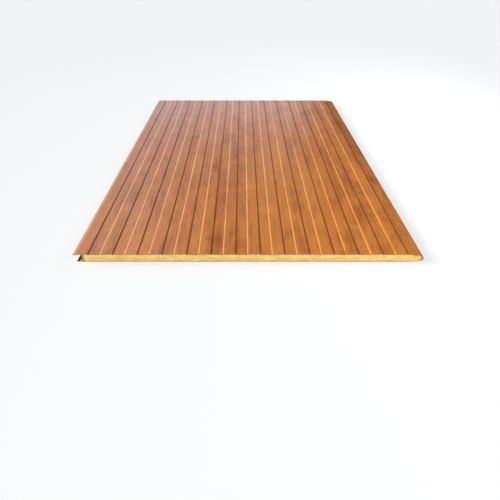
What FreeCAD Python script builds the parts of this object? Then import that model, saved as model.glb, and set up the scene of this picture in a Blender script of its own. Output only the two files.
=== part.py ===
"""Insulated wall panel: a ribbed metal facing and a plain metal back sheet bonded to a foam core.

The panel lies on its back sheet with the facing up. X runs across the panel from the groove edge to the
tongue edge, Y along the ribs and Z through the thickness. The origin is the middle of the footprint, on the
back face. Every piece keeps one section all along the panel, so each section is drawn in the XZ plane, with
x = 0 at the edge of the lip, and pushed along Y. All lengths are in millimetres.
"""

import FreeCAD
import Part

import math
import os

# Panel
LENGTH = 600.0  # along the ribs
COVER_WIDTH = 400.0  # from the edge of one lip to the edge of the next panel's lip
THICKNESS = 10.7  # from the back face to the top of the raised strips

# Sheets
FACING_GAUGE = 0.4
BACK_GAUGE = 0.3

# Ribs: raised and sunk strips that alternate across the facing
RIB_COUNT = 14
RIB_DEPTH = 0.35  # from a raised strip down to a sunk one
RIB_SLOPE_RUN = 1.2  # width of the slope between two strips
RIB_BEND_RADIUS = 0.8  # at the middle of the sheet
FIRST_STRIP_WIDTH = 17.4  # from the edge of the lip to the middle of the first slope
SUNK_STRIP_WIDTH = 14.1  # between the middles of its two slopes

# Groove edge, upper lip: the facing runs past the foam and folds back under itself
LIP_REACH = 7.5  # past the foam
LIP_FOLD_LENGTH = 6.0  # from the edge of the lip to the end of the folded leg
LIP_FOLD_GAP = 0.1  # between the two layers
LIP_BEVEL_WIDTH = 3.0  # the sloped margin along the edge
LIP_BEVEL_DROP = 0.5
LIP_BEVEL_RADIUS = 4.0  # at the middle of the sheet

# Groove edge, lower lip: the back sheet runs past the foam and folds back over itself
SILL_REACH = 4.6  # past the foam
SILL_FOLD_LENGTH = 3.4  # from the edge of the sill to the end of the folded leg
SILL_FOLD_GAP = 0.1  # between the two layers

# Groove edge, foam: the hollow at the back of the groove
COVE_DEPTH = 3.0

# Tongue edge: the facing slopes down to the nose, wraps it and turns back under it
TONGUE_TOP_CLEARANCE = 0.15  # under the edge of the next panel's lip
TONGUE_BOTTOM_CLEARANCE = 0.2  # over the next panel's sill
TONGUE_NOSE_CLEARANCE = 2.7  # from the nose to the bottom of the next panel's cove
TONGUE_RETURN = 1.5  # the straight leg after the nose
SEAM_GAP = 0.8  # bare foam between the facing's leg and the back sheet
HEEL_RUN = 14.0  # width of the back sheet's rise to the tongue
HEEL_RADIUS = 40.0  # at the middle of the sheet

# Sizes that follow from those above
rib_pitch = COVER_WIDTH / RIB_COUNT
lip_thickness = 2 * FACING_GAUGE + LIP_FOLD_GAP
sill_thickness = 2 * BACK_GAUGE + SILL_FOLD_GAP
tongue_length = LIP_REACH + COVE_DEPTH - TONGUE_NOSE_CLEARANCE
overall_width = COVER_WIDTH + tongue_length
nose_middle = overall_width - FACING_GAUGE / 2  # at the middle of the sheet
last_strip_start = FIRST_STRIP_WIDTH + (RIB_COUNT - 1) * rib_pitch + RIB_SLOPE_RUN / 2
tongue_top = THICKNESS - LIP_BEVEL_DROP - lip_thickness - TONGUE_TOP_CLEARANCE
tongue_slope = (THICKNESS - RIB_DEPTH - tongue_top) / (COVER_WIDTH - last_strip_start)  # fall over run
nose_top = tongue_top - tongue_slope * (nose_middle - COVER_WIDTH)
tongue_bottom = sill_thickness + TONGUE_BOTTOM_CLEARANCE
nose_radius = (nose_top - tongue_bottom - FACING_GAUGE) / 2
return_end = nose_middle - nose_radius - TONGUE_RETURN
back_end = return_end - SEAM_GAP


def bend_path(corners):
    """Join corners, each (x, z, bend radius), by straight runs and tangent bends.

    Each run or bend comes back as the stations that fix it, two for a run and three for a bend. A station is
    a point with the unit normal on the left of the way along the path.
    """
    points = [FreeCAD.Vector(x, 0, z) for x, z, _ in corners]
    ways = [(end - start).normalize() for start, end in zip(points, points[1:])]
    normals = [FreeCAD.Vector(-way.z, 0, way.x) for way in ways]
    path = []
    run_start = points[0]
    for index, way in enumerate(ways[:-1]):
        corner = points[index + 1]
        next_way = ways[index + 1]
        turn = way.getAngle(next_way)
        shorter_run = min(corner.distanceToPoint(points[index]), corner.distanceToPoint(points[index + 2]))
        setback = min(corners[index + 1][2] * math.tan(turn / 2), shorter_run / 2)
        side = 1 if normals[index].dot(next_way) > 0 else -1
        radius = setback / math.tan(turn / 2)
        bend_start = corner - way * setback
        bend_end = corner + next_way * setback
        centre = bend_start + normals[index] * (side * radius)
        middle_normal = (normals[index] + normals[index + 1]).normalize()
        middle = centre - middle_normal * (side * radius)
        add_run(path, run_start, bend_start, normals[index])
        path.append(
            [(bend_start, normals[index]), (middle, middle_normal), (bend_end, normals[index + 1])]
        )
        run_start = bend_end
    add_run(path, run_start, points[-1], normals[-1])
    return path


def add_run(path, start, end, normal):
    """Add a straight run, unless two bends meet there with nothing between them."""
    if not start.isEqual(end, 1e-6):
        path.append([(start, normal), (end, normal)])


def offset_points(path, offset):
    """Move every station of a path to its left by the offset."""
    return [[point + normal * offset for point, normal in stations] for stations in path]


def outline_edges(outline):
    """Turn each run of two points into a line and each bend of three into an arc."""
    curves = [Part.LineSegment(*run) if len(run) == 2 else Part.Arc(*run) for run in outline]
    return [curve.toShape() for curve in curves]


def push_along_length(edges):
    """Close the edges into a section and push it along the panel, centred on the origin."""
    section = Part.Face(Part.Wire(edges))
    section.translate(FreeCAD.Vector(-overall_width / 2, -LENGTH / 2, 0))
    return section.extrude(FreeCAD.Vector(0, LENGTH, 0))


def sheet(path, gauge):
    """Give a bent path the thickness of its sheet, half on each side."""
    left = offset_points(path, gauge / 2)
    right = [run[::-1] for run in reversed(offset_points(path, -gauge / 2))]
    far_end = [left[-1][-1], right[0][0]]
    near_end = [right[-1][-1], left[0][0]]
    return push_along_length(outline_edges([*left, far_end, *right, near_end]))


def facing_lip():
    """Path of the facing from the end of the folded leg, round the edge, to the foam."""
    raised = THICKNESS - FACING_GAUGE / 2
    upper_leg = raised - LIP_BEVEL_DROP
    lower_leg = upper_leg - FACING_GAUGE - LIP_FOLD_GAP
    edge = FACING_GAUGE / 2
    fold_radius = (upper_leg - lower_leg) / 2
    return bend_path(
        [
            (LIP_FOLD_LENGTH, lower_leg, 0),
            (edge, lower_leg, fold_radius),
            (edge, upper_leg, fold_radius),
            (LIP_BEVEL_WIDTH, raised, LIP_BEVEL_RADIUS),
            (LIP_REACH, raised, 0),
        ]
    )


def facing_field():
    """Path of the facing over the foam: the ribs, the last strip's slope and the wrapped nose."""
    raised = THICKNESS - FACING_GAUGE / 2
    sunk = raised - RIB_DEPTH
    half_slope = RIB_SLOPE_RUN / 2
    corners = [(LIP_REACH, raised, 0)]
    for rib in range(RIB_COUNT):
        fall = FIRST_STRIP_WIDTH + rib * rib_pitch
        rise = fall + SUNK_STRIP_WIDTH
        corners.append((fall - half_slope, raised, RIB_BEND_RADIUS))
        corners.append((fall + half_slope, sunk, RIB_BEND_RADIUS))
        if rib < RIB_COUNT - 1:
            corners.append((rise - half_slope, sunk, RIB_BEND_RADIUS))
            corners.append((rise + half_slope, raised, RIB_BEND_RADIUS))
    bottom = tongue_bottom + FACING_GAUGE / 2
    corners += [
        (nose_middle, nose_top - FACING_GAUGE / 2, nose_radius),
        (nose_middle, bottom, nose_radius),
        (return_end, bottom, 0),
    ]
    return bend_path(corners)


def back_sill():
    """Path of the back sheet from the end of its folded leg, round the edge, to the foam."""
    base = BACK_GAUGE / 2
    upper_leg = base + BACK_GAUGE + SILL_FOLD_GAP
    edge = LIP_REACH - SILL_REACH
    fold_radius = (upper_leg - base) / 2
    return bend_path(
        [
            (edge + SILL_FOLD_LENGTH, upper_leg, 0),
            (edge + BACK_GAUGE / 2, upper_leg, fold_radius),
            (edge + BACK_GAUGE / 2, base, fold_radius),
            (LIP_REACH, base, 0),
        ]
    )


def back_field():
    """Path of the back sheet under the foam, up to the tongue."""
    base = BACK_GAUGE / 2
    return bend_path(
        [
            (LIP_REACH, base, 0),
            (back_end - HEEL_RUN, base, HEEL_RADIUS),
            (back_end, tongue_bottom + base, 0),
        ]
    )


def foam_core(facing, back):
    """Fill the space between the two sheets, with a hollow cove in the groove edge."""
    roof = offset_points(facing, -FACING_GAUGE / 2)
    floor = [run[::-1] for run in reversed(offset_points(back, BACK_GAUGE / 2))]
    seam = [roof[-1][-1], floor[0][0]]
    cove_start = floor[-1][-1]
    cove_end = roof[0][0]
    cove_middle = (cove_start + cove_end) * 0.5 + FreeCAD.Vector(COVE_DEPTH, 0, 0)
    cove = [cove_start, cove_middle, cove_end]
    return push_along_length(outline_edges([*roof, seam, *floor, cove]))


def build():
    """Make every piece of the panel and write one file for each."""
    facing = facing_field()
    back = back_field()
    pieces = {
        "facing_sheet": sheet(facing_lip() + facing, FACING_GAUGE),
        "foam_core": foam_core(facing, back),
        "back_sheet": sheet(back_sill() + back, BACK_GAUGE),
    }
    os.makedirs("parts", exist_ok=True)
    for name, shape in pieces.items():
        shape.exportStep(f"parts/{name}.step")


build()
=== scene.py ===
"""Looks of an insulated wall panel: printed facing, sawn foam core and coated back sheet.

The panel lies on its back sheet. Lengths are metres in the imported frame: X runs across the panel from the
groove edge to the tongue edge, Y along the ribs and Z up.
"""

import logging
import math
from dataclasses import dataclass, field
from enum import Enum
from functools import reduce
from typing import Any, Callable, ClassVar, Iterable, Union

import bmesh
import bpy
from bmesh.types import BMEdge, BMesh, BMFace, BMVert
from mathutils import Matrix, Vector, noise

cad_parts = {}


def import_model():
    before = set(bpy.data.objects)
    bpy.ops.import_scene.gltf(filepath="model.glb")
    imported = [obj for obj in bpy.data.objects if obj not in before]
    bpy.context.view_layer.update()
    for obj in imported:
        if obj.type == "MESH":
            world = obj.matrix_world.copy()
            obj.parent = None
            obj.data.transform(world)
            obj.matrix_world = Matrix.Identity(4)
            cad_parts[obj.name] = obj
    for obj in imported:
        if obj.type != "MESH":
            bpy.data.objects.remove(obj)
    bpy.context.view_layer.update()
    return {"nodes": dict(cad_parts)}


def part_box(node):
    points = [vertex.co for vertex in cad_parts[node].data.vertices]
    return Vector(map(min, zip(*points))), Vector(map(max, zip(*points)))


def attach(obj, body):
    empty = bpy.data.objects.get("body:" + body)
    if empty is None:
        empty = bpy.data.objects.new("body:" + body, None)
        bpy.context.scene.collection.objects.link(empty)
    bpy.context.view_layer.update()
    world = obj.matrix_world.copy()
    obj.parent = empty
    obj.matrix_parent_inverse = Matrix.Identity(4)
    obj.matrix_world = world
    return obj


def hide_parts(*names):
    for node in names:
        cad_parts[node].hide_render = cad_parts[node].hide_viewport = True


LOG = logging.getLogger("wall_panel")
BODY = "root"
MERGE_DISTANCE = 1e-6
SHARP_ANGLE = math.radians(40)
WHITE = (1.0, 1.0, 1.0, 1.0)

Colour = tuple[float, float, float, float]
Scale = tuple[float, float, float]
Amount = Union["Signal", float]
Tint = Union["Signal", Colour]


class Node(Enum):
    """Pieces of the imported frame."""

    FACING = "facing_sheet"
    FOAM = "foam_core"
    BACK = "back_sheet"


class Slot(Enum):
    """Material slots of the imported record."""

    FACING = "facing"
    FOAM = "foam"
    BACKING = "backing"


class Side(Enum):
    """Material order on a thickened sheet, as the thickening offsets it."""

    OUTER = 0
    INNER = 1
    RIM = 2


class Ray(Enum):
    """Kinds of ray, by the names that a Light Path node gives them."""

    CAMERA = "Is Camera Ray"
    GLOSSY = "Is Glossy Ray"
    TRANSMISSION = "Is Transmission Ray"


def srgb(red: int, green: int, blue: int) -> Colour:
    """Turn a screen colour into the linear colour that shaders take.

    Args:
        red: Red, 0 to 255.
        green: Green, 0 to 255.
        blue: Blue, 0 to 255.

    Returns:
        Linear red, green, blue and full alpha.
    """
    shares = (value / 255 for value in (red, green, blue))
    linear = [s / 12.92 if s <= 0.04045 else ((s + 0.055) / 1.055) ** 2.4 for s in shares]
    return (linear[0], linear[1], linear[2], 1.0)


@dataclass(frozen=True)
class Clouds:
    """Soft noise, with its repeats for each metre along X, Y and Z.

    Detail is its octaves of finer noise, and bend is how far it bends itself.
    """

    scale: Scale
    detail: float = 2.0
    bend: float = 0.0


@dataclass(frozen=True)
class Band:
    """A smooth change, from start at the value low to end at the value high."""

    low: float
    high: float
    start: float = 0.0
    end: float = 1.0


@dataclass(frozen=True)
class Patches:
    """Soft patches: noise, and what its low and high values give."""

    clouds: Clouds
    band: Band


class Signal:
    """A shader socket that takes part in Python arithmetic."""

    def __init__(self, tree: "ShaderTree", socket: bpy.types.NodeSocket) -> None:
        """Wrap one socket of a tree."""
        self.tree = tree
        self.socket = socket

    def port(self, name: str) -> "Signal":
        """Return another output of the same node."""
        return Signal(self.tree, self.socket.node.outputs[name])

    def _math(self, operation: str, first: Amount, second: Amount) -> "Signal":
        """Add one Math node on two values."""
        return self.tree.node("ShaderNodeMath", {"operation": operation}, {0: first, 1: second})

    def __add__(self, other: Amount) -> "Signal":
        """Add a value."""
        return self._math("ADD", self, other)

    def __radd__(self, other: Amount) -> "Signal":
        """Be added to a value."""
        return self._math("ADD", other, self)

    def __sub__(self, other: Amount) -> "Signal":
        """Take a value away."""
        return self._math("SUBTRACT", self, other)

    def __rsub__(self, other: Amount) -> "Signal":
        """Be taken away from a value."""
        return self._math("SUBTRACT", other, self)

    def __mul__(self, other: Amount) -> "Signal":
        """Multiply by a value."""
        return self._math("MULTIPLY", self, other)

    def __rmul__(self, other: Amount) -> "Signal":
        """Be multiplied by a value."""
        return self._math("MULTIPLY", other, self)

    def larger(self, other: Amount) -> "Signal":
        """Take the larger of two values."""
        return self._math("MAXIMUM", self, other)

    def smaller(self, other: Amount) -> "Signal":
        """Take the smaller of two values."""
        return self._math("MINIMUM", self, other)

    def from_nearest(self, spacing: float) -> "Signal":
        """Measure how far the value is from the nearest multiple of a spacing."""
        return self._math("PINGPONG", self, spacing / 2)


class ShaderTree:
    """A node tree with one way to add nodes and a few patterns made from it."""

    MIX_FACTOR, MIX_FIRST, MIX_SECOND, MIX_COLOUR = 0, 6, 7, 2
    MEAN_NOISE = 0.5

    def __init__(self, owner: bpy.types.Material | bpy.types.World) -> None:
        """Empty the owner's tree.

        Args:
            owner: Material or world whose nodes are made here.
        """
        owner.use_nodes = True
        self.tree = owner.node_tree
        self.tree.nodes.clear()

    def node(
        self,
        kind: str,
        settings: dict[str, Any] | None = None,
        inputs: dict[int | str, Any] | None = None,
        output: int | str = 0,
    ) -> Signal:
        """Add one node.

        Args:
            kind: Node type.
            settings: Properties of the node, set first. stops are a colour ramp's.
            inputs: Value or link of each input socket, by name or place.
            output: Output socket to return.

        Returns:
            The chosen output, or the first input of a node that has no outputs.
        """
        made = self.tree.nodes.new(kind)
        for name, value in (settings or {}).items():
            if name == "stops":
                self._set_stops(made.color_ramp, value)
            else:
                setattr(made, name, value)
        for key, value in (inputs or {}).items():
            if isinstance(value, Signal):
                self.tree.links.new(value.socket, made.inputs[key])
            else:
                made.inputs[key].default_value = value
        return Signal(self, made.outputs[output] if made.outputs else made.inputs[0])

    @staticmethod
    def _set_stops(ramp: bpy.types.ColorRamp, stops: list[tuple[float, Colour]]) -> None:
        """Replace a ramp's stops.

        Args:
            ramp: Colour ramp to fill.
            stops: Place and colour of each stop, in order.
        """
        while len(ramp.elements) < len(stops):
            ramp.elements.new(1.0)
        for element, (place, colour) in zip(ramp.elements, stops):
            element.position = place
            element.color = colour

    def place(self, scale: Scale) -> Signal:
        """Read object coordinates, stretched along the axes.

        Args:
            scale: Repeats for each metre along X, Y and Z.

        Returns:
            The stretched coordinates.
        """
        where = self.node("ShaderNodeTexCoord", output="Object")
        return self.node("ShaderNodeMapping", inputs={"Vector": where, "Scale": scale})

    def across(self) -> Signal:
        """Read how far across the panel a point lies, along X."""
        where = self.node("ShaderNodeTexCoord", output="Object")
        return self.node("ShaderNodeSeparateXYZ", inputs={"Vector": where}, output="X")

    def clouds(self, pattern: Clouds) -> Signal:
        """Add soft noise.

        Args:
            pattern: Scale and fineness of the noise.

        Returns:
            Noise from 0 to 1.
        """
        inputs = {
            "Vector": self.place(pattern.scale),
            "Scale": 1.0,
            "Detail": pattern.detail,
            "Distortion": pattern.bend,
        }
        return self.node("ShaderNodeTexNoise", inputs=inputs)

    def cells(self, scale: Scale) -> Signal:
        """Add cells like those of leather or foam.

        Args:
            scale: Cells for each metre along X, Y and Z.

        Returns:
            Distance from the middle of the nearest cell.
        """
        return self.node("ShaderNodeTexVoronoi", inputs={"Vector": self.place(scale), "Scale": 1.0})

    def band(self, value: Amount, limits: Band) -> Signal:
        """Map a value smoothly from one range to another.

        Args:
            value: Value to map.
            limits: The two ranges.

        Returns:
            The mapped value.
        """
        inputs = {0: value, 1: limits.low, 2: limits.high, 3: limits.start, 4: limits.end}
        return self.node("ShaderNodeMapRange", {"interpolation_type": "SMOOTHSTEP"}, inputs)

    def patches(self, pattern: Patches) -> Signal:
        """Add soft patches."""
        return self.band(self.clouds(pattern.clouds), pattern.band)

    def mix(self, factor: Amount, first: Tint, second: Tint) -> Signal:
        """Mix two colours.

        Args:
            factor: Share of the second colour.
            first: Colour at 0.
            second: Colour at 1.

        Returns:
            The mixed colour.
        """
        inputs = {self.MIX_FACTOR: factor, self.MIX_FIRST: first, self.MIX_SECOND: second}
        return self.node("ShaderNodeMix", {"data_type": "RGBA"}, inputs, self.MIX_COLOUR)

    def relief(self, height: Signal, depth: float, strength: float = 1.0) -> Signal:
        """Turn a height into a normal.

        Args:
            height: Height from 0 to 1.
            depth: What a height of 1 measures, in metres.
            strength: Share of the relief that shows.

        Returns:
            The bumped normal.
        """
        inputs = {"Strength": strength, "Distance": depth, "Height": height}
        return self.node("ShaderNodeBump", inputs=inputs)

    def rays(self, *kinds: Ray) -> Signal:
        """Tell rays of some kinds from all others.

        Args:
            kinds: Kinds to find.

        Returns:
            1 for rays of those kinds and 0 for others.
        """
        path = self.node("ShaderNodeLightPath")
        return reduce(Signal.larger, [path.port(kind.value) for kind in kinds])


class Finish:
    """A finish that makes its own material, with one principled surface."""

    NAME: ClassVar[str]

    def surface(self, tree: ShaderTree) -> dict[str, Any]:
        """Give the value or link of each of the surface's sockets."""
        raise NotImplementedError

    def material(self) -> bpy.types.Material:
        """Make the material.

        Returns:
            The finished material.
        """
        material = bpy.data.materials.new(self.NAME)
        tree = ShaderTree(material)
        shader = tree.node("ShaderNodeBsdfPrincipled", inputs=self.surface(tree))
        tree.node("ShaderNodeOutputMaterial", inputs={"Surface": shader})
        return material


@dataclass(frozen=True)
class WoodGrainPrint(Finish):
    """Satin wood-grain print on an embossed metal sheet, with the grain along Y.

    The print is darkened with painted shade at the foot of each rib, where the facing falls to a sunk
    strip, and the painted shade dulls the clear coat. It is painted pale as a highlight where the facing
    rises again and along the edge of the lip.
    """

    NAME: ClassVar[str] = "wood_grain_print"

    lip_edge: float
    first_fall: float
    last_fall: float
    rib_pitch: float
    sunk_strip: float
    pale: Colour = srgb(217, 138, 62)
    middle: Colour = srgb(203, 122, 52)
    deep: Colour = srgb(166, 91, 37)
    # Brown of the pores, also used for the painted shade at the foot of each rib.
    pore_and_shade: Colour = srgb(120, 63, 26)
    # Pale colour of the painted highlights.
    pale_highlight: Colour = srgb(247, 173, 84)
    fibres: Clouds = Clouds((300, 9, 300), detail=3, bend=0.3)
    shading: Clouds = Clouds((55, 28, 55), detail=4, bend=0.6)
    boards: Clouds = Clouds((34, 3, 34))
    fibre_share: float = 0.3
    shading_share: float = 0.4
    board_share: float = 0.3
    deep_tone: float = 0.36
    middle_tone: float = 0.5
    pale_tone: float = 0.66
    pores: Patches = Patches(Clouds((850, 45, 850)), Band(0.58, 0.74, end=0.45))
    smudges: Patches = Patches(Clouds((110, 55, 110), detail=3), Band(0.56, 0.8, end=0.35))
    line_core: float = 1 / 3  # share of a rib line's half width that has its full strength
    # Painted shade along the foot of each rib, where the facing falls to a sunk strip.
    foot_shift: float = 0.0003
    foot_width: float = 0.0016
    foot_shade: float = 0.74
    shade_dulling: float = 0.75  # share of the coat that the full painted shade takes away
    # Painted highlights on the rising slope of each rib and along the lip's edge.
    crest_width: float = 0.0014
    crest_highlight: float = 0.52
    margin_width: float = 0.0060
    margin_highlight: float = 0.30
    # Patches where the painted highlights show.
    highlight_patches: Patches = Patches(Clouds((60, 25, 60)), Band(0.3, 0.6, start=0.55))
    stucco_scale: Scale = (370, 330, 370)
    brushing: Clouds = Clouds((800, 90, 800), detail=1)
    brushing_share: float = 0.2
    emboss_depth: float = 0.0003
    roughness: float = 0.28
    roughness_spread: float = 0.1
    polish: Clouds = Clouds((40, 15, 40))
    coat_roughness: float = 0.2
    coat_ior: float = 1.8

    def rib_line(self, tree: ShaderTree, place: float, half_width: float, share: float) -> Signal:
        """Find a soft line that runs along every rib.

        Args:
            tree: Tree to add the line to.
            place: X of the line on the first rib.
            half_width: How far the line reaches to each side.
            share: What the line gives at its middle.

        Returns:
            The share on the line, falling to 0 beside it.
        """
        ribs_only = tree.across().smaller(self.last_fall + self.sunk_strip / 2)
        aside = (ribs_only - place).from_nearest(self.rib_pitch)
        return tree.band(aside, Band(half_width * self.line_core, half_width, share, 0.0))

    def grain(self, tree: ShaderTree) -> Signal:
        """Print the wood's tones.

        Args:
            tree: Tree to add the tones to.

        Returns:
            Colour of the clean print.
        """
        fibres = tree.clouds(self.fibres) * self.fibre_share
        shading = tree.clouds(self.shading) * self.shading_share
        boards = tree.clouds(self.boards) * self.board_share
        stops = [(self.deep_tone, self.deep), (self.middle_tone, self.middle), (self.pale_tone, self.pale)]
        return tree.node("ShaderNodeValToRGB", {"stops": stops}, {"Fac": fibres + shading + boards})

    def painted_highlights(self, tree: ShaderTree) -> Signal:
        """Find where highlights are painted pale.

        Args:
            tree: Tree to add the painted highlights to.

        Returns:
            Share of the print that is painted pale as a highlight.
        """
        crest = self.rib_line(tree, self.first_fall + self.sunk_strip, self.crest_width, self.crest_highlight)
        margin_end = self.lip_edge + self.margin_width
        margin = tree.band(tree.across(), Band(self.lip_edge, margin_end, self.margin_highlight, 0.0))
        return crest.larger(margin) * tree.patches(self.highlight_patches)

    def surface(self, tree: ShaderTree) -> dict[str, Any]:
        """Lay pores, smudges, painted shade and painted highlights over the grain, under a clear coat.

        Args:
            tree: Tree to add the finish to.

        Returns:
            Value or link of each of the surface's sockets.
        """
        # Painted shade at the foot of each rib: it darkens the print and dulls the coat.
        foot_shade_mask = self.rib_line(tree, self.first_fall + self.foot_shift, self.foot_width, self.foot_shade)
        colour = tree.mix(tree.patches(self.pores), self.grain(tree), self.pore_and_shade)
        colour = tree.mix(tree.patches(self.smudges), colour, self.deep)
        colour = tree.mix(foot_shade_mask, colour, self.pore_and_shade)
        # Painted highlights where the facing rises again and along the lip's edge.
        colour = tree.mix(self.painted_highlights(tree), colour, self.pale_highlight)
        height = tree.cells(self.stucco_scale) + tree.clouds(self.brushing) * self.brushing_share
        return {
            "Base Color": colour,
            "Roughness": self.roughness + tree.clouds(self.polish) * self.roughness_spread,
            "Normal": tree.relief(height, self.emboss_depth),
            "Coat Weight": 1.0 - foot_shade_mask * self.shade_dulling,
            "Coat Roughness": self.coat_roughness,
            "Coat IOR": self.coat_ior,
        }


@dataclass(frozen=True)
class RigidFoam(Finish):
    """Cream rigid foam with fine cells, sawn at the ends, with painted shade in its pits and a darker skin
    along its long edges that is partly painted shade in the groove and round the nose.
    """

    NAME: ClassVar[str] = "rigid_foam"

    groove_edge: float
    nose: float
    cream: Colour = srgb(242, 210, 139)
    shade: Colour = srgb(222, 184, 106)
    # Darker colour of the pits: painted shade where the relief also sinks them.
    pit: Colour = srgb(170, 132, 70)
    # Dark skin colour, also standing in as painted shade in the groove's cove and round the nose.
    skin_and_shade: Colour = srgb(140, 112, 66)
    broad_mottle: Clouds = Clouds((70, 70, 160), detail=3)
    fine_mottle: Clouds = Clouds((330, 330, 420))
    broad_share: float = 0.6
    fine_share: float = 0.4
    shading: Band = Band(0.36, 0.66)
    pits: Patches = Patches(Clouds((420, 420, 420)), Band(0.6, 0.74, end=0.55))
    ragged_edge: Clouds = Clouds((260, 260, 260))
    raggedness: float = 0.004
    # Reach of the darker skin, which is partly painted shade in the groove and round the nose.
    cove_skin_and_shade: float = 0.0026
    groove_skin_and_shade: float = 0.0064
    groove_cover: float = 0.95
    nose_skin_and_shade: float = 0.0065
    nose_cover: float = 0.8
    cell_scale: Scale = (1100, 1100, 1100)
    cell_rise: float = 0.6
    pit_fall: float = 0.8
    cell_depth: float = 0.0003
    relief_share: float = 0.7
    roughness: float = 0.92
    specular: float = 0.2

    def skin_and_shade_share(self, tree: ShaderTree) -> Signal:
        """Find how much of the darker skin, partly painted shade, shows.

        Args:
            tree: Tree to add the test to.

        Returns:
            Nearly 1 at the long edges, falling to 0 inside the foam.
        """
        ragged = tree.across() + (tree.clouds(self.ragged_edge) - tree.MEAN_NOISE) * self.raggedness
        cove_end = self.groove_edge + self.cove_skin_and_shade
        groove_end = self.groove_edge + self.groove_skin_and_shade
        groove = tree.band(ragged, Band(cove_end, groove_end, self.groove_cover, 0.0))
        nose = tree.band(ragged, Band(self.nose - self.nose_skin_and_shade, self.nose, 0.0, self.nose_cover))
        return groove.larger(nose)

    def surface(self, tree: ShaderTree) -> dict[str, Any]:
        """Mottle the foam, then add its pits, painted darker as shade, and its skin, partly painted shade.

        Args:
            tree: Tree to add the finish to.

        Returns:
            Value or link of each of the surface's sockets.
        """
        broad = tree.clouds(self.broad_mottle) * self.broad_share
        fine = tree.clouds(self.fine_mottle) * self.fine_share
        pits = tree.patches(self.pits)
        colour = tree.mix(tree.band(broad + fine, self.shading), self.cream, self.shade)
        # The pits are painted darker as shade where the relief also sinks them.
        colour = tree.mix(pits, colour, self.pit)
        # Darker skin at the long edges, partly painted shade in the groove's cove and round the nose.
        colour = tree.mix(self.skin_and_shade_share(tree), colour, self.skin_and_shade)
        height = tree.cells(self.cell_scale) * self.cell_rise - pits * self.pit_fall
        return {
            "Base Color": colour,
            "Roughness": self.roughness,
            "Specular IOR Level": self.specular,
            "Normal": tree.relief(height, self.cell_depth, self.relief_share),
        }


@dataclass(frozen=True)
class BackCoat(Finish):
    """Plain dark brown coat on the back sheet, with faint roller lines and scuffs."""

    NAME: ClassVar[str] = "back_coat"

    brown: Colour = srgb(54, 21, 8)
    worn: Colour = srgb(82, 46, 27)
    roller_lines: Clouds = Clouds((500, 3, 500))
    blotches: Clouds = Clouds((14, 9, 14), detail=4)
    fading: Band = Band(0.35, 0.7, end=0.4)
    scuffs: Patches = Patches(Clouds((60, 480, 60), detail=3, bend=1.5), Band(0.62, 0.7, end=0.5))
    scuffed: Band = Band(0.45, 0.6)
    grit: Clouds = Clouds((900, 900, 900))
    grit_share: float = 0.5
    depth: float = 0.00004
    roughness: float = 0.44
    roughness_spread: float = 0.12
    specular: float = 0.1

    def surface(self, tree: ShaderTree) -> dict[str, Any]:
        """Fade and scuff the coat in blotches.

        Args:
            tree: Tree to add the finish to.

        Returns:
            Value or link of each of the surface's sockets.
        """
        lines = tree.clouds(self.roller_lines)
        blotches = tree.clouds(self.blotches)
        scuffs = tree.patches(self.scuffs) * tree.band(blotches, self.scuffed)
        colour = tree.mix(tree.band(blotches, self.fading), self.brown, self.worn)
        colour = tree.mix(scuffs, colour, self.worn)
        height = lines + tree.clouds(self.grit) * self.grit_share
        return {
            "Base Color": colour,
            "Roughness": self.roughness + lines * self.roughness_spread,
            "Specular IOR Level": self.specular,
            "Normal": tree.relief(height, self.depth),
        }


@dataclass(frozen=True)
class Primer(Finish):
    """Pale primer on the foam side of a sheet, with a film of foam left on it."""

    NAME: ClassVar[str] = "primer"

    pale: Colour = srgb(226, 219, 202)
    foam: Colour = srgb(226, 196, 132)
    film: Patches = Patches(Clouds((120, 45, 120), detail=3), Band(0.4, 0.65))
    roughness: float = 0.6

    def surface(self, tree: ShaderTree) -> dict[str, Any]:
        """Leave the film of foam on the primer.

        Args:
            tree: Tree to add the finish to.

        Returns:
            Value or link of each of the surface's sockets.
        """
        colour = tree.mix(tree.patches(self.film), self.pale, self.foam)
        return {"Base Color": colour, "Roughness": self.roughness}


@dataclass(frozen=True)
class CutMetal(Finish):
    """Bare metal on the sheared edges of a sheet."""

    NAME: ClassVar[str] = "cut_metal"

    bright: Colour = srgb(204, 174, 142)
    dull: Colour = srgb(164, 124, 92)
    shear_marks: Clouds = Clouds((600, 600, 40))
    metallic: float = 0.35
    roughness: float = 0.4
    roughness_spread: float = 0.3

    def surface(self, tree: ShaderTree) -> dict[str, Any]:
        """Dull and roughen the metal along the marks of the shear.

        Args:
            tree: Tree to add the finish to.

        Returns:
            Value or link of each of the surface's sockets.
        """
        marks = tree.clouds(self.shear_marks)
        return {
            "Base Color": tree.mix(marks, self.bright, self.dull),
            "Metallic": self.metallic,
            "Roughness": self.roughness + marks * self.roughness_spread,
        }


@dataclass(frozen=True)
class Bend:
    """A corner of a sheet's path in the section, rounded at the middle of the sheet."""

    x: float
    z: float
    radius: float = 0.0


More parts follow.
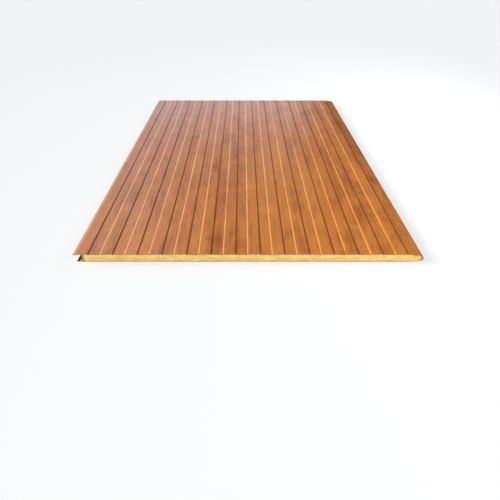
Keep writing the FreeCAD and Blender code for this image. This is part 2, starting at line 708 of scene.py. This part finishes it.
@dataclass(frozen=True)
class PanelSection:
    """The panel's section: what the frame gives, and the sizes of the roll-formed edges."""

    near: float
    far: float
    lip_edge: float
    nose: float
    top: float
    foam_edge: float
    sill_edge: float
    tongue_bottom: float
    facing_gauge: float
    back_gauge: float
    cover_width: float = 0.400
    rib_count: int = 14
    rib_depth: float = 0.00035
    slope_run: float = 0.0012
    rib_radius: float = 0.0008
    first_strip: float = 0.0174
    sunk_strip: float = 0.0141
    fold_length: float = 0.0060
    fold_gap: float = 0.0001
    bevel_width: float = 0.0030
    bevel_drop: float = 0.0005
    bevel_radius: float = 0.0040
    sill_fold_length: float = 0.0034
    sill_fold_gap: float = 0.0001
    tongue_clearance: float = 0.00015
    tongue_return: float = 0.0015
    seam_gap: float = 0.0008
    heel_run: float = 0.0140
    heel_radius: float = 0.0400

    @classmethod
    def from_frame(cls) -> "PanelSection":
        """Read the section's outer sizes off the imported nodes.

        Returns:
            The section in the frame's coordinates.
        """
        facing_low, facing_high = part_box(Node.FACING.value)
        foam_low, foam_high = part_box(Node.FOAM.value)
        back_low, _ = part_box(Node.BACK.value)
        return cls(
            near=facing_low.y,
            far=facing_high.y,
            lip_edge=facing_low.x,
            nose=facing_high.x,
            top=facing_high.z,
            foam_edge=foam_low.x,
            sill_edge=back_low.x,
            tongue_bottom=facing_low.z,
            facing_gauge=facing_high.z - foam_high.z,
            back_gauge=foam_low.z - back_low.z,
        )

    @property
    def rib_pitch(self) -> float:
        """Width of a raised and a sunk strip together."""
        return self.cover_width / self.rib_count

    @property
    def nose_middle(self) -> float:
        """X of the tongue's nose at the middle of the sheet."""
        return self.nose - self.facing_gauge / 2

    @property
    def nose_top(self) -> float:
        """Work out how high the tongue is at its nose, on a slope that passes under a mating lip.

        Returns:
            Height of the top of the nose.
        """
        lip = 2 * self.facing_gauge + self.fold_gap
        tongue_top = self.top - self.bevel_drop - lip - self.tongue_clearance
        seam = self.lip_edge + self.cover_width
        slope_start = self.rib_slopes()[-1][0] + self.slope_run / 2
        slope = (self.top - self.rib_depth - tongue_top) / (seam - slope_start)
        return tongue_top - slope * (self.nose_middle - seam)

    @property
    def nose_radius(self) -> float:
        """Radius of the tongue's nose at the middle of the sheet."""
        return (self.nose_top - self.tongue_bottom - self.facing_gauge) / 2

    @property
    def return_end(self) -> float:
        """Where the facing ends under the tongue."""
        return self.nose_middle - self.nose_radius - self.tongue_return

    def rib_slopes(self) -> list[tuple[float, bool]]:
        """List the middles of the slopes between strips.

        Returns:
            X of each slope, and whether the facing falls there.
        """
        slopes = []
        for rib in range(self.rib_count):
            fall = self.lip_edge + self.first_strip + rib * self.rib_pitch
            slopes.append((fall, True))
            if rib < self.rib_count - 1:
                slopes.append((fall + self.sunk_strip, False))
        return slopes

    def facing_bends(self) -> list[Bend]:
        """Follow the facing from its folded leg over the ribs and round the tongue.

        Returns:
            The corners of the middle of the sheet.
        """
        raised = self.top - self.facing_gauge / 2
        sunk = raised - self.rib_depth
        upper = raised - self.bevel_drop
        lower = upper - self.facing_gauge - self.fold_gap
        edge = self.lip_edge + self.facing_gauge / 2
        fold = (upper - lower) / 2
        bends = [
            Bend(self.lip_edge + self.fold_length, lower),
            Bend(edge, lower, fold),
            Bend(edge, upper, fold),
            Bend(self.lip_edge + self.bevel_width, raised, self.bevel_radius),
        ]
        half = self.slope_run / 2
        for middle, falls in self.rib_slopes():
            before, after = (raised, sunk) if falls else (sunk, raised)
            bends.append(Bend(middle - half, before, self.rib_radius))
            bends.append(Bend(middle + half, after, self.rib_radius))
        bottom = self.tongue_bottom + self.facing_gauge / 2
        bends += [
            Bend(self.nose_middle, self.nose_top - self.facing_gauge / 2, self.nose_radius),
            Bend(self.nose_middle, bottom, self.nose_radius),
            Bend(self.return_end, bottom),
        ]
        return bends

    def back_bends(self) -> list[Bend]:
        """Follow the back sheet from its folded leg to its heel under the tongue.

        Returns:
            The corners of the middle of the sheet.
        """
        base = self.back_gauge / 2
        upper = base + self.back_gauge + self.sill_fold_gap
        edge = self.sill_edge + base
        fold = (upper - base) / 2
        end = self.return_end - self.seam_gap
        return [
            Bend(self.sill_edge + self.sill_fold_length, upper),
            Bend(edge, upper, fold),
            Bend(edge, base, fold),
            Bend(end - self.heel_run, base, self.heel_radius),
            Bend(end, self.tongue_bottom + base),
        ]


@dataclass
class RollFormer:
    """Bends a flat ribbon along a section's path and gives it the thickness of a sheet."""

    DEGREES_PER_SEGMENT: ClassVar[float] = 9.0
    FEWEST_SEGMENTS: ClassVar[int] = 2

    name: str
    section: PanelSection
    bends: list[Bend]
    gauge: float

    def _turn(self, index: int) -> tuple[float, float]:
        """Measure the turn at a corner.

        Args:
            index: Place of the corner in the path.

        Returns:
            The angle turned, and how far the round starts before the corner.
        """
        before, here, after = (Vector((b.x, b.z)) for b in self.bends[index - 1 : index + 2])
        turn = (here - before).angle(after - here)
        shorter = min((here - before).length, (after - here).length)
        return turn, min(self.bends[index].radius * math.tan(turn / 2), shorter / 2)

    def ribbon(self) -> BMesh:
        """Lay the path at the near end, draw it out to the far end and round its corners.

        Returns:
            An open ribbon without thickness.
        """
        mesh = bmesh.new()
        corners = [mesh.verts.new((bend.x, self.section.near, bend.z)) for bend in self.bends]
        path = [mesh.edges.new(pair) for pair in zip(corners, corners[1:])]
        drawn = bmesh.ops.extrude_edge_only(mesh, edges=path)["geom"]
        length = Vector((0.0, self.section.far - self.section.near, 0.0))
        bmesh.ops.translate(mesh, verts=[g for g in drawn if isinstance(g, BMVert)], vec=length)
        for index in range(1, len(self.bends) - 1):
            self._round(mesh, index)
        bmesh.ops.remove_doubles(mesh, verts=mesh.verts, dist=MERGE_DISTANCE)
        bmesh.ops.dissolve_degenerate(mesh, edges=mesh.edges, dist=MERGE_DISTANCE)
        return mesh

    def _round(self, mesh: BMesh, index: int) -> None:
        """Round the long edge at one corner.

        Args:
            mesh: The ribbon.
            index: Place of the corner in the path.
        """
        bend = self.bends[index]
        turn, setback = self._turn(index)
        segments = round(math.degrees(turn) / self.DEGREES_PER_SEGMENT)
        corner = Vector((bend.x, bend.z))
        ridge = [
            edge
            for edge in mesh.edges
            if all((Vector((v.co.x, v.co.z)) - corner).length < MERGE_DISTANCE for v in edge.verts)
        ]
        bmesh.ops.bevel(
            mesh,
            geom=ridge,
            offset=setback,
            offset_type="OFFSET",
            affect="EDGES",
            segments=max(self.FEWEST_SEGMENTS, segments),
            profile=0.5,
            material=-1,
        )

    @staticmethod
    def long_edges(mesh: BMesh) -> list[BMEdge]:
        """Find the edges that run along the panel."""
        return [e for e in mesh.edges if abs(e.verts[0].co.y - e.verts[1].co.y) > MERGE_DISTANCE]

    def sheet(self, divisions: int, outer_up: bool, ripple: Callable[[Vector], float]) -> bpy.types.Object:
        """Make the finished sheet.

        Args:
            divisions: Cuts along the panel.
            outer_up: Whether the coated side of the broad face looks up.
            ripple: Height to add to a point, so that the sheet isn't perfectly flat.

        Returns:
            The sheet, thickened on both sides of its path.
        """
        mesh = self.ribbon()
        bmesh.ops.subdivide_edges(mesh, edges=self.long_edges(mesh), cuts=divisions, use_grid_fill=True)
        bmesh.ops.recalc_face_normals(mesh, faces=mesh.faces)
        broad = max(mesh.faces, key=BMFace.calc_area)
        if (broad.normal.z > 0) != outer_up:
            bmesh.ops.reverse_faces(mesh, faces=mesh.faces)
        for vert in mesh.verts:
            vert.co.z += ripple(vert.co)
        piece = object_from(self.name, mesh)
        for _ in Side:
            piece.data.materials.append(None)
        thicken = piece.modifiers.new("gauge", "SOLIDIFY")
        thicken.thickness = self.gauge
        thicken.offset = 0.0
        thicken.use_even_offset = True
        thicken.material_offset = Side.INNER.value
        thicken.material_offset_rim = Side.RIM.value
        freeze(piece)
        shade(piece)
        return piece


def object_from(name: str, mesh: BMesh) -> bpy.types.Object:
    """Put a mesh into a new object at the origin.

    Args:
        name: Name of the piece.
        mesh: Mesh to use up.

    Returns:
        The linked object.
    """
    data = bpy.data.meshes.new(name)
    mesh.to_mesh(data)
    mesh.free()
    piece = bpy.data.objects.new(name, data)
    bpy.context.scene.collection.objects.link(piece)
    return piece


def freeze(piece: bpy.types.Object) -> None:
    """Apply a piece's modifiers to its mesh.

    Args:
        piece: Piece to finish.
    """
    graph = bpy.context.evaluated_depsgraph_get()
    data = bpy.data.meshes.new_from_object(piece.evaluated_get(graph))
    piece.modifiers.clear()
    piece.data = data


def shade(piece: bpy.types.Object) -> None:
    """Shade a piece smooth between its sharp edges, with its broad faces flat.

    Args:
        piece: Piece to finish.
    """
    piece.data.shade_smooth()
    piece.data.set_sharp_from_angle(angle=SHARP_ANGLE)
    flatten = piece.modifiers.new("broad_faces_flat", "WEIGHTED_NORMAL")
    flatten.mode = "FACE_AREA"
    flatten.keep_sharp = True
    freeze(piece)


def coat_sides(piece: bpy.types.Object, coat: Finish) -> None:
    """Give a sheet its coat outside, primer inside and bare metal on its sheared edges.

    Args:
        piece: Sheet to dress.
        coat: Finish of the outer side.
    """
    for side, finish in ((Side.OUTER, coat), (Side.INNER, Primer()), (Side.RIM, CutMetal())):
        piece.data.materials[side.value] = finish.material()


def stand_for(piece: bpy.types.Object, node: Node) -> None:
    """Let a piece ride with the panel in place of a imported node.

    Args:
        piece: Finished piece.
        node: Node that the piece replaces.
    """
    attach(piece, BODY)
    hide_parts(node.value)


@dataclass
class FacingSheet:
    """The ribbed, printed sheet with its folded lip and wrapped tongue."""

    section: PanelSection
    divisions: int = 60
    ripple_height: float = 0.00006
    ripple_rate: Vector = field(default_factory=lambda: Vector((11.0, 9.0, 0.0)))

    def ripple(self, point: Vector) -> float:
        """Give the slight unevenness of a bonded sheet at a point."""
        return self.ripple_height * noise.noise(point * self.ripple_rate)

    def build(self) -> bpy.types.Object:
        """Make and dress the sheet.

        Returns:
            The finished piece.
        """
        bends = self.section.facing_bends()
        former = RollFormer("printed_facing", self.section, bends, self.section.facing_gauge)
        piece = former.sheet(self.divisions, outer_up=True, ripple=self.ripple)
        self.dress(piece)
        stand_for(piece, Node.FACING)
        return piece

    def dress(self, piece: bpy.types.Object) -> None:
        """Print the sheet with wood grain, with painted shade and painted highlights in step with its ribs.

        Args:
            piece: Sheet to dress.
        """
        slopes = self.section.rib_slopes()
        coat = WoodGrainPrint(
            lip_edge=self.section.lip_edge,
            first_fall=slopes[0][0],
            last_fall=slopes[-1][0],
            rib_pitch=self.section.rib_pitch,
            sunk_strip=self.section.sunk_strip,
        )
        coat_sides(piece, coat)


@dataclass
class BackSheet:
    """The plain coated sheet with its folded sill and heel."""

    section: PanelSection
    divisions: int = 12

    def build(self) -> bpy.types.Object:
        """Make and dress the sheet.

        Returns:
            The finished piece.
        """
        former = RollFormer("coated_back", self.section, self.section.back_bends(), self.section.back_gauge)
        piece = former.sheet(self.divisions, outer_up=False, ripple=lambda point: 0.0)
        self.dress(piece)
        stand_for(piece, Node.BACK)
        return piece

    def dress(self, piece: bpy.types.Object) -> None:
        """Give the sheet its plain coat."""
        coat_sides(piece, BackCoat())


@dataclass
class FoamCore:
    """The foam between the sheets, with open cells on its sawn ends."""

    section: PanelSection
    source: bpy.types.Object
    cut_spacing: tuple[float, float] = (0.0013, 0.0012)
    pit_depth: float = 0.00035
    pit_spacing: float = 0.0016
    pit_narrowing: float = 1.6
    pit_patch_rate: float = 240.0
    saw_depth: float = 0.00010
    saw_rate: float = 380.0
    saw_slant: float = 0.4

    def build(self) -> bpy.types.Object:
        """Make and dress the core.

        Returns:
            The finished piece.
        """
        mesh = bmesh.new()
        mesh.from_mesh(self.source.data)
        bmesh.ops.remove_doubles(mesh, verts=mesh.verts, dist=MERGE_DISTANCE)
        for end, inward in ((self.section.near, 1.0), (self.section.far, -1.0)):
            bmesh.ops.dissolve_faces(mesh, faces=self.end_faces(mesh, end))
            self.divide(mesh, end)
            self.roughen(mesh, end, inward)
        piece = object_from("sawn_foam", mesh)
        shade(piece)
        self.dress(piece)
        stand_for(piece, Node.FOAM)
        return piece

    @staticmethod
    def end_faces(mesh: BMesh, end: float) -> list[BMFace]:
        """Find the faces of one sawn end."""
        return [f for f in mesh.faces if all(abs(v.co.y - end) < MERGE_DISTANCE for v in f.verts)]

    def divide(self, mesh: BMesh, end: float) -> None:
        """Cut one end into a fine grid.

        Args:
            mesh: The core.
            end: Y of the end.
        """
        low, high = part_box(Node.FOAM.value)
        for axis, spacing in zip((Vector((1, 0, 0)), Vector((0, 0, 1))), self.cut_spacing):
            reach = (high - low).dot(axis)
            count = math.ceil(reach / spacing)
            for step in range(1, count):
                faces = self.end_faces(mesh, end)
                parts = dict.fromkeys(part for face in faces for part in (face, *face.edges, *face.verts))
                bmesh.ops.bisect_plane(
                    mesh,
                    geom=list(parts),
                    plane_co=low + axis * (reach * step / count),
                    plane_no=axis,
                    dist=MERGE_DISTANCE,
                )

    def roughen(self, mesh: BMesh, end: float, inward: float) -> None:
        """Sink the open cells and saw marks of one end, leaving its border in place.

        Args:
            mesh: The core.
            end: Y of the end.
            inward: Way into the foam along Y.
        """
        faces = self.end_faces(mesh, end)
        inside = set(faces)
        inner = {v for face in faces for v in face.verts if all(f in inside for f in v.link_faces)}
        for vert in inner:
            vert.co.y += inward * self.sunk(vert.co)

    @staticmethod
    def clouds(point: Vector) -> float:
        """Give soft noise from 0 to 1 at a point."""
        return 0.5 + 0.5 * noise.noise(point)

    def sunk(self, point: Vector) -> float:
        """Depth of the sawn face at a point.

        Args:
            point: Place on the end.

        Returns:
            Depth below the end's plane.
        """
        distance = noise.voronoi(point / self.pit_spacing)[0][0]
        pit = max(0.0, 1.0 - self.pit_narrowing * distance) * self.clouds(point * self.pit_patch_rate)
        along_saw = Vector((point.x + self.saw_slant * point.z, 0.0, 0.0))
        return self.pit_depth * pit + self.saw_depth * self.clouds(along_saw * self.saw_rate)

    def dress(self, piece: bpy.types.Object) -> None:
        """Give the core its foam finish."""
        piece.data.materials.clear()
        piece.data.materials.append(RigidFoam(self.section.foam_edge, self.section.nose).material())


def hang(lamp: bpy.types.Light) -> bpy.types.Object:
    """Put a lamp into the scene, unseen by the camera and unmirrored.

    Only lamp samples light the panel, so that the coat doesn't sparkle.

    Args:
        lamp: Lamp to hang.

    Returns:
        The linked object.
    """
    lamp.cycles.use_multiple_importance_sampling = False
    piece = bpy.data.objects.new(lamp.name, lamp)
    piece.visible_camera = False
    piece.visible_glossy = False
    bpy.context.scene.collection.objects.link(piece)
    return piece


@dataclass(frozen=True)
class Sunlamp:
    """A soft lamp so far away that it lights the whole panel alike, with its angles in degrees."""

    name: str
    azimuth: float
    elevation: float
    strength: float
    softness: float

    def light(self) -> None:
        """Hang the lamp, shining at the origin from its azimuth and elevation."""
        lamp = bpy.data.lights.new(self.name, "SUN")
        lamp.energy = self.strength
        lamp.angle = math.radians(self.softness)
        turn, rise = math.radians(self.azimuth), math.radians(self.elevation)
        source = Vector((math.sin(turn) * math.cos(rise), math.cos(turn) * math.cos(rise), math.sin(rise)))
        hang(lamp).rotation_euler = source.to_track_quat("Z", "Y").to_euler()


@dataclass(frozen=True)
class StripLamp:
    """A long narrow lamp between two points, turned to a target."""

    name: str
    start: Vector
    end: Vector
    target: Vector
    width: float
    radiance: float

    def light(self) -> None:
        """Hang the lamp, turned to its target."""
        along = (self.end - self.start).normalized()
        middle = (self.start + self.end) / 2
        away = middle - self.target
        away = (away - along * away.dot(along)).normalized()
        lamp = bpy.data.lights.new(self.name, "AREA")
        lamp.shape = "RECTANGLE"
        lamp.size = (self.end - self.start).length
        lamp.size_y = self.width
        lamp.energy = self.radiance * math.pi * lamp.size * lamp.size_y
        turned = Matrix((along, away.cross(along), away)).transposed().to_4x4()
        hang(lamp).matrix_world = Matrix.Translation(middle) @ turned


@dataclass(frozen=True)
class Wall:
    """A wall of the studio, between two azimuths and up to an elevation, in degrees from the panel."""

    left: float
    right: float
    top: float
    brightness: float
    soft_side: float
    soft_top: float

    def glow(self, tree: ShaderTree, turn: Signal, rise: Signal) -> Signal:
        """Give the wall's light along a direction.

        Args:
            tree: Tree of the world.
            turn: Azimuth of the direction, in radians.
            rise: Sine of its elevation.

        Returns:
            The wall's brightness where the direction meets it, and 0 elsewhere.
        """
        left, right, soft = (math.radians(angle) for angle in (self.left, self.right, self.soft_side))
        low, high = (math.sin(math.radians(angle)) for angle in (self.top - self.soft_top, self.top))
        past_left = tree.band(turn, Band(left, left + soft))
        short_of_right = tree.band(turn, Band(right - soft, right, 1.0, 0.0))
        return past_left * short_of_right * tree.band(rise, Band(low, high, self.brightness, 0.0))


@dataclass
class Studio:
    """Pale floor, soft lamps and the camera."""

    floor_size: float = 60.0
    floor_colour: Colour = (0.88, 0.88, 0.88, 1.0)
    floor_drop: float = 0.0001
    floor_glow: float = 0.62  # share of plain white in what the camera sees of the floor
    ceiling: float = 0.05  # its brightness
    daylight: Colour = (0.84, 0.95, 1.18, 1.0)
    walls: tuple[Wall, ...] = (
        Wall(left=-150, right=-3, top=50, brightness=0.45, soft_side=16, soft_top=12),
        Wall(left=-45, right=14, top=23, brightness=0.82, soft_side=9, soft_top=8),
    )
    lamps: tuple[Sunlamp | StripLamp, ...] = (
        Sunlamp("window_light", azimuth=-80, elevation=19, strength=5.5, softness=28),
        Sunlamp("front_fill", azimuth=-160, elevation=15, strength=1.75, softness=40),
        StripLamp(
            "near_softbox",
            start=Vector((0.15, -1.1, 0.75)),
            end=Vector((0.75, -0.9, 0.75)),
            target=Vector((0.15, -0.25, 0.0)),
            width=0.4,
            radiance=3.0,
        ),
        StripLamp(
            "right_softbox",
            start=Vector((0.5, -0.45, 0.35)),
            end=Vector((0.5, 0.55, 0.35)),
            target=Vector((0.15, 0.05, 0.0)),
            width=0.15,
            radiance=3.4,
        ),
    )
    camera_place: tuple[float, float, float] = (-0.00680, -0.67679, 0.29398)
    camera_pitch: float = 36.329  # degrees below the horizon
    camera_lens: float = 29.348  # millimetres
    camera_shift: float = 0.01454  # share of the picture's width
    camera_clip: float = 0.01

    def set_up(self) -> None:
        """Make the floor, the light and the camera."""
        self.floor()
        self.sky()
        for lamp in self.lamps:
            lamp.light()
        self.camera()
        bpy.context.scene.view_settings.view_transform = "Standard"

    def floor(self) -> None:
        """Lay a wide pale floor that keeps the panel's shadow."""
        mesh = bmesh.new()
        bmesh.ops.create_grid(mesh, x_segments=1, y_segments=1, size=self.floor_size / 2)
        bmesh.ops.translate(mesh, verts=mesh.verts, vec=Vector((0.0, 0.0, -self.floor_drop)))
        floor = object_from("studio_floor", mesh)
        material = bpy.data.materials.new("studio_floor")
        tree = ShaderTree(material)
        matt = tree.node("ShaderNodeBsdfDiffuse", inputs={"Color": self.floor_colour})
        glow = tree.node("ShaderNodeEmission", inputs={"Color": WHITE, "Strength": 1.0})
        share = tree.rays(Ray.CAMERA, Ray.GLOSSY, Ray.TRANSMISSION) * self.floor_glow
        mixed = tree.node("ShaderNodeMixShader", inputs={0: share, 1: matt, 2: glow})
        tree.node("ShaderNodeOutputMaterial", inputs={"Surface": mixed})
        floor.data.materials.append(material)

    def sky(self) -> None:
        """Stand walls in daylight behind the panel and on its left, under a dim ceiling.

        The camera sees plain white. The coat mirrors the walls as they stand, so that its sheen fades to
        the right.
        """
        world = bpy.data.worlds.new("studio_sky")
        bpy.context.scene.world = world
        tree = ShaderTree(world)
        way = tree.node("ShaderNodeTexCoord", output="Generated")
        east = tree.node("ShaderNodeSeparateXYZ", inputs={"Vector": way}, output="X")
        north, rise = east.port("Y"), east.port("Z")
        turn = tree.node("ShaderNodeMath", {"operation": "ARCTAN2"}, {0: east, 1: north})
        seen = tree.rays(Ray.CAMERA, Ray.TRANSMISSION)
        room = seen.larger(self.ceiling)
        for wall in self.walls:
            room = room.larger(wall.glow(tree, turn, rise))
        colour = tree.mix(seen, self.daylight, WHITE)
        light = tree.node("ShaderNodeBackground", inputs={"Color": colour, "Strength": room})
        tree.node("ShaderNodeOutputWorld", inputs={"Surface": light})

    def camera(self) -> None:
        """Stand the camera before the near end, looking down along the ribs."""
        lens = bpy.data.cameras.new("camera")
        lens.lens = self.camera_lens
        lens.shift_x = self.camera_shift
        lens.clip_start = self.camera_clip
        piece = bpy.data.objects.new("camera", lens)
        piece.location = self.camera_place
        piece.rotation_euler = (math.radians(90 - self.camera_pitch), 0.0, 0.0)
        bpy.context.scene.collection.objects.link(piece)
        bpy.context.scene.camera = piece


def main() -> None:
    """Load the frame, build the pieces in order and set up the studio."""
    logging.basicConfig(level=logging.INFO, format="%(name)s: %(message)s")
    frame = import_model()
    section = PanelSection.from_frame()
    foam = frame["nodes"][Node.FOAM.value]
    for maker in (BackSheet(section), FoamCore(section, foam), FacingSheet(section)):
        piece = maker.build()
        LOG.info("%s has %d faces", piece.name, len(piece.data.polygons))
    Studio().set_up()


if __name__ == "__main__":
    main()
